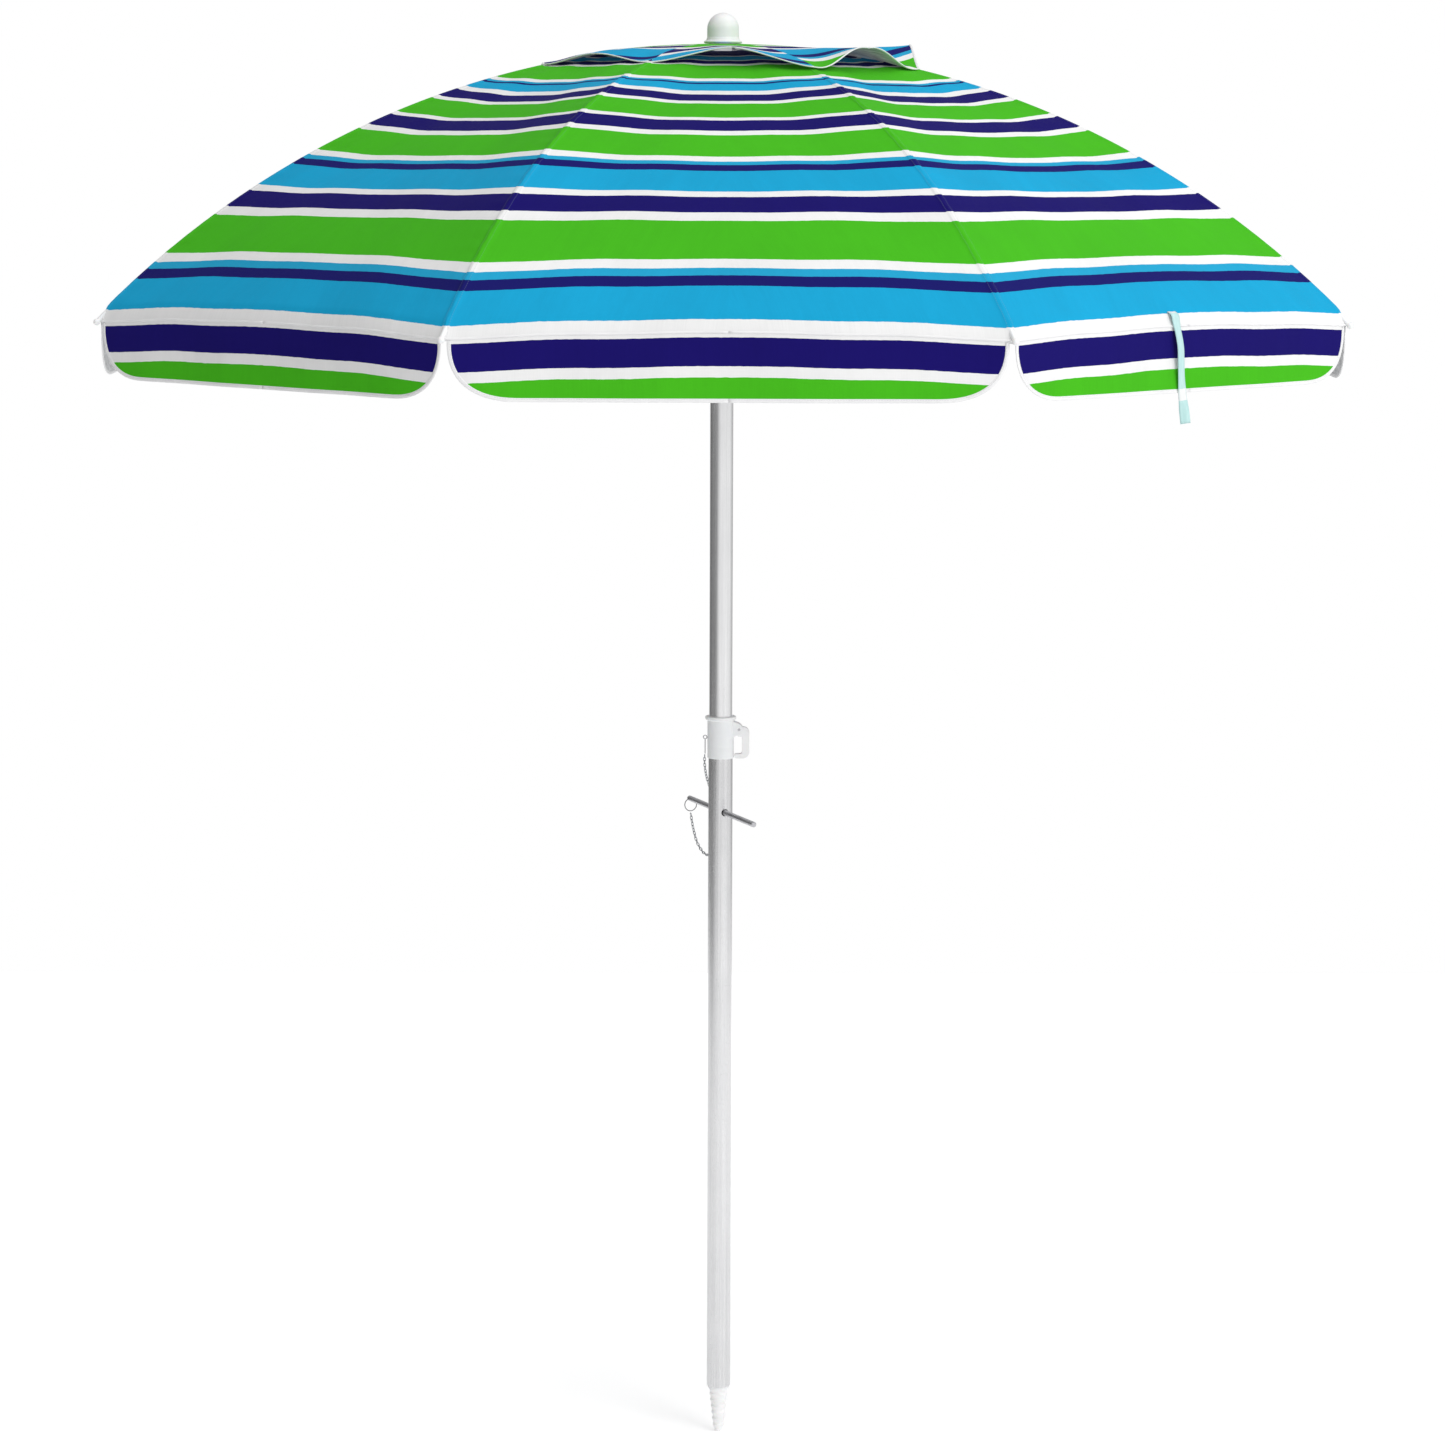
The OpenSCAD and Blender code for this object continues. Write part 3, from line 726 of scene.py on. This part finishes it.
def hem_roll(k):
    """A rolled hem along the rim on both sides of rib k."""
    fine_run, roll_w, roll_h, roll_low, keep_s = 0.02, 0.0026, 0.0030, 0.0006, 0.945
    reach = np.concatenate([np.linspace(0.0, fine_run, 6), np.linspace(fine_run, HALF_HEM, 44)[1:]])
    left, right = (hem_line(k, side, reach / HALF_HEM)[::side] for side in (-1, 1))
    path = np.concatenate([left, right[1:]]) - [0, 0, roll_low]
    out = np.tile(outward(rib_azimuth(k)), (len(path), 1))
    section = round_section(roll_w, roll_h, 8)
    verts, faces = sweep(path, out, section)
    obj = mesh_object(f"hem_roll_{k}", verts, faces, [BINDING], uvs=strip_uv(section, run_along(path)))
    fold_with_rib(obj, k)


for k in range(1, GORES + 1):
    left_half = make_valance(k, -1)
    make_valance(k, 1)
    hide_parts(f"valance_{k}")
    hem_roll(k)


# ---- vent flap over the crown --------------------------------------------------------------------
# at each rib: how far the flap reaches and how much it hangs under its own dome line; at each gore,
# which follows its rib counting towards +X: how high its free edge is blown up, and the print's turn
FLAP_REACH = (0.266, 0.316, 0.292, 0.280, 0.274, 0.280, 0.276, 0.272)
FLAP_HANG = (0.004, 0.000, 0.003, 0.002, 0.004, 0.003, 0.004, 0.003)
FLAP_PUFF = (0.023, 0.027, 0.034, 0.024, 0.020, 0.014, 0.004, 0.013)
FLAP_TURN = (-4.0, 34.0, 48.0, 30.0, -20.0, 35.0, -40.0, -36.0)
FLAP_R = DOME_R + 0.0045
FLAP_IN = 0.012
# added to the flap's cloth coordinate, so that the canopy's rows of stitches don't show on it
OFF_SEAM = 0.02
# shares of the flap's reach where its strips end
FLAP_ZONES = (0.0, 0.24, 0.50, 0.75, 1.0)


def table_place(k, side):
    """Where the gore on one side of rib k stands in the flap's tables."""
    return (gore_beside(k, side) - 1) % GORES


def flap_surface(k, side, t, f):
    """Flap point beside rib k: t from 0 at the crown to 1 at the free edge."""
    t, f = np.broadcast_arrays(np.asarray(t, float), np.asarray(f, float))
    other = (k - 1 + side) % GORES
    a0, a1 = rib_azimuth(k), rib_azimuth(k) + side * 2 * HALF
    r0, r1 = (FLAP_IN + (FLAP_REACH[rib] - FLAP_IN) * t for rib in (k - 1, other))
    outer_quarter = smooth((t - 0.75) / 0.25)
    z0 = DOME_Z + np.sqrt(FLAP_R ** 2 - r0 ** 2) - FLAP_HANG[k - 1] * outer_quarter
    z1 = DOME_Z + np.sqrt(FLAP_R ** 2 - r1 ** 2) - FLAP_HANG[other] * outer_quarter
    h = f / 2
    x = (1 - h) * r0 * math.cos(a0) + h * r1 * math.cos(a1)
    y = (1 - h) * r0 * math.sin(a0) + h * r1 * math.sin(a1)
    gore = table_place(k, side)
    rise = np.clip((t - 0.18) / 0.82, 0, 1) ** 2.4
    arch = (1 - np.cos(math.pi * f)) / 2
    crumple = 0.0022 * np.sin(9.0 * t + 2.3 * gore) * np.sin(2 * math.pi * f) * rise
    return np.stack([x, y, (1 - h) * z0 + h * z1 + FLAP_PUFF[gore] * rise * arch + crumple], -1)


def flap_print(k, side, pts):
    """Place in the print at each flap point: the stripes run at a turn that differs from gore to gore."""
    edge_stripe, edge_r = 0.668, 0.262
    a = rib_azimuth(k) + side * HALF
    turn = math.radians(FLAP_TURN[table_place(k, side)])
    return edge_stripe - (pts @ outward(a) - edge_r) * math.cos(turn) + pts @ sideways(a) * math.sin(turn)


def flap_edge(k, path):
    """The bound free edge of the flap about rib k."""
    section = round_section(0.0036, 0.0018, 8)
    out = np.tile(outward(rib_azimuth(k)), (len(path), 1))
    verts, faces = sweep(path - np.array([0, 0, 0.0003]), out, section)
    return mesh_object(f"vent_flap_edge_{k}", verts, faces, [BINDING], uvs=strip_uv(section, run_along(path)))


def flap_piece(k, index):
    """One strip of the vent flap about rib k; the outermost one has the bound edge with it."""
    low, high = FLAP_ZONES[index], FLAP_ZONES[index + 1]
    t = np.linspace(low, high, 15 if index else 11)[:, None]
    f = np.linspace(0, 1, 17)[None, :]
    dt, df, first_t = 0.004, 0.01, 0.0005
    shells, edge = [], []
    for side in (-1, 1):
        def point(t, f, side=side):
            return flap_surface(k, side, t, f)
        pts = point(t, f)
        along = point(t + dt, f) - point(np.maximum(t - dt, first_t), f)
        across = point(t, np.minimum(f + df, 1)) - point(t, np.maximum(f - df, 0))
        nrm = unit(np.cross(along, across))
        nrm = np.where(nrm[..., 2:3] < 0, -nrm, nrm)
        reach = np.linalg.norm(pts - pts[:, :1], axis=-1)
        uv = np.stack([OFF_SEAM + reach, flap_print(k, side, pts)], -1)
        shells.append(grid_shell(pts, nrm, uv, CLOTH_T, side > 0))
        edge.append(pts[-1][::side])
    verts, faces, kinds, uvs, norms = join_shells(shells)
    obj = mesh_object(f"vent_flap_{k}_{index + 1}", verts, faces, [CLOTH, LINING], kinds, uvs, norms)
    pieces = [obj]
    if index == len(FLAP_ZONES) - 2:
        pieces.append(flap_edge(k, np.concatenate([edge[0], edge[1][1:]])))
    # the innermost strip stays on the crown and gives way to the rib outside the hinge ring
    for piece in pieces:
        if index == 0:
            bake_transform(piece)
        else:
            fold_with_rib(piece, k)
    return obj


flap_pieces = [flap_piece(k, i) for k in range(1, GORES + 1) for i in range(len(FLAP_ZONES) - 1)]
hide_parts("vent_flap")


# ---- closing strap -------------------------------------------------------------------------------
def closing_strap():
    """Webbing sewn under the hem, brought over it and hanging down in front of the valance."""
    low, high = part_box("closing_strap")
    a = rib_azimuth(2) + HALF
    out, lateral = outward(a), sideways(a)
    chord = RIM_R * math.cos(HALF)
    top, bottom = high.z - 0.002, low.z
    # down the strap: its distance in front of the hem's chord, and its place beside the gore's middle
    t = np.linspace(0, 1, 40)
    offset = 0.0020 + 0.0045 * smooth(t * 3) + 0.0035 * t + 0.0012 * np.sin(7.0 * t)
    across = -0.0285 + 0.0135 * t
    path = (chord + offset)[:, None] * out + across[:, None] * lateral
    path[:, 2] += top + (bottom - top) * t
    over_hem = ((-0.009, 0.0042), (-0.007, 0.0050), (-0.0045, 0.0046), (-0.002, 0.0032))
    hook = np.stack([path[0] + out * x + np.array([0, 0, z]) for x, z in over_hem])
    path = np.concatenate([hook, path])
    sewn_w, free_w, end_w = 0.0150, 0.0122, 0.0136
    width = np.interp(np.arange(len(path)), [0, 5, 9, 35, 38, len(path) - 1],
                      [sewn_w, sewn_w, free_w, free_w, end_w, end_w])
    run = run_along(path)
    along = unit(np.gradient(path, axis=0))
    # its free end turns a little towards the front
    twist = 0.60 * smooth((np.linspace(0, 1, len(path)) - 0.55) / 0.4)
    tilt = unit(lateral[None, :] + twist[:, None] * out)
    across_dir = unit(tilt - along * np.sum(tilt * along, -1, keepdims=True))
    face = np.cross(along, across_dir)
    face = np.where(np.sum(face * out, -1, keepdims=True) < 0, -face, face)
    w = np.linspace(-0.5, 0.5, 7)
    crown = 0.0003 * (1 - (2 * w) ** 2)
    pts = (path[:, None] + across_dir[:, None] * (w[None, :, None] * width[:, None, None])
           + face[:, None] * crown[None, :, None])
    uv = np.stack(np.broadcast_arrays(w[None, :] * width[:, None], run[:, None]), -1)
    webbing_t = 0.0011
    nrm = np.broadcast_to(face[:, None], pts.shape)
    verts, faces, kinds, uvs, _ = grid_shell(pts, nrm, uv, webbing_t, False)
    obj = mesh_object("closing_strap_webbing", verts, faces, [WEBBING], kinds * 0, uvs)
    fold_with_valance(obj, 2)
    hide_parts("closing_strap")


closing_strap()


# ---- safety chain --------------------------------------------------------------------------------
CHAIN_ROUTE = np.array([
    (-23, 4, 1019), (-23, 8, 1004), (-20, 15, 984), (-13, 23, 962), (-5, 29, 940),
    (-1, 34, 915), (-2, 40, 889), (-8, 49, 869), (-15, 58, 861), (-22, 68, 861),
    (-28, 78, 866), (-34, 87, 876), (-38, 95, 889), (-41, 101, 903), (-43, 106, 915),
], float) / 1000


def route_points(per_step=12):
    """The smooth curve through the chain's route."""
    p = np.concatenate([CHAIN_ROUTE[:1], CHAIN_ROUTE, CHAIN_ROUTE[-1:]])
    out = []
    for i in range(1, len(p) - 2):
        a, b, c, d = p[i - 1], p[i], p[i + 1], p[i + 2]
        for t in np.arange(per_step) / per_step:
            out.append(0.5 * (2 * b + (c - a) * t + (2 * a - 5 * b + 4 * c - d) * t * t
                              + (3 * b - a - 3 * c + d) * t ** 3))
    out.append(p[-1])
    return np.array(out)


def safety_chain():
    """Oval links, each turned a quarter to the one before, and the whole chain slightly twisted."""
    line = route_points()
    run = run_along(line)
    # pitch of the links, radius of their wire, half their straight sides and radius of their ends
    pitch, wire, straight, bend = 0.0047, 0.00055, 0.0013, 0.0016
    twist, feel = 0.08, 0.003
    count = int(run[-1] / pitch)
    turn = np.linspace(0, math.pi, 9)
    half = np.stack([straight + bend * np.sin(turn), bend * np.cos(turn)], -1)
    oval = np.concatenate([half, -half])
    round_turn = np.linspace(0, 2 * math.pi, 8, endpoint=False)
    section = np.stack([np.cos(round_turn), np.sin(round_turn)], -1) * wire
    verts, faces, at = [], [], 0
    ref = np.array([0.2, 0.9, 0.35])
    for i in range(count):
        s = (i + 0.5) * run[-1] / count
        centre = at_distance(s, run, line)
        behind = at_distance(max(s - feel, 0), run, line)
        ahead = at_distance(min(s + feel, run[-1]), run, line)
        along = unit(ahead - behind)
        ref = unit(ref - along * np.dot(ref, along))
        angle = i * (math.pi / 2 + twist)
        side = ref * math.cos(angle) + np.cross(along, ref) * math.sin(angle)
        path = centre + oval[:, :1] * along + oval[:, 1:] * side
        normal = np.tile(np.cross(along, side), (len(path), 1))
        v, f = sweep(path, normal, section, closed=True)
        verts.append(v)
        faces += [tuple(j + at for j in q) for q in f]
        at += len(v)
    obj = mesh_object("chain_links", np.concatenate(verts), faces, [CHAIN_STEEL])
    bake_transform(obj)
    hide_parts("safety_chain")


safety_chain()


# ---- materials of the CAD nodes ------------------------------------------------------------------
FINISHES = {
    "lower_pole": TUBE_LOW, "upper_pole": ALUMINIUM, "cross_bar": BAR_STEEL, "split_ring": RING_STEEL,
    "chain_eye": STEEL, "lever_pin": STEEL, "crown_ring": STEEL, "canopy_washer": STEEL,
    "runner_catch": STEEL, "runner_stop": STEEL,
}
for name, node in NODES.items():
    if name.startswith(("rib_", "stretcher")) and not name.startswith("rib_tip"):
        finish = RIB_STEEL
    else:
        finish = FINISHES.get(name, PLASTIC)
    for place in node.material_slots:
        place.material = finish
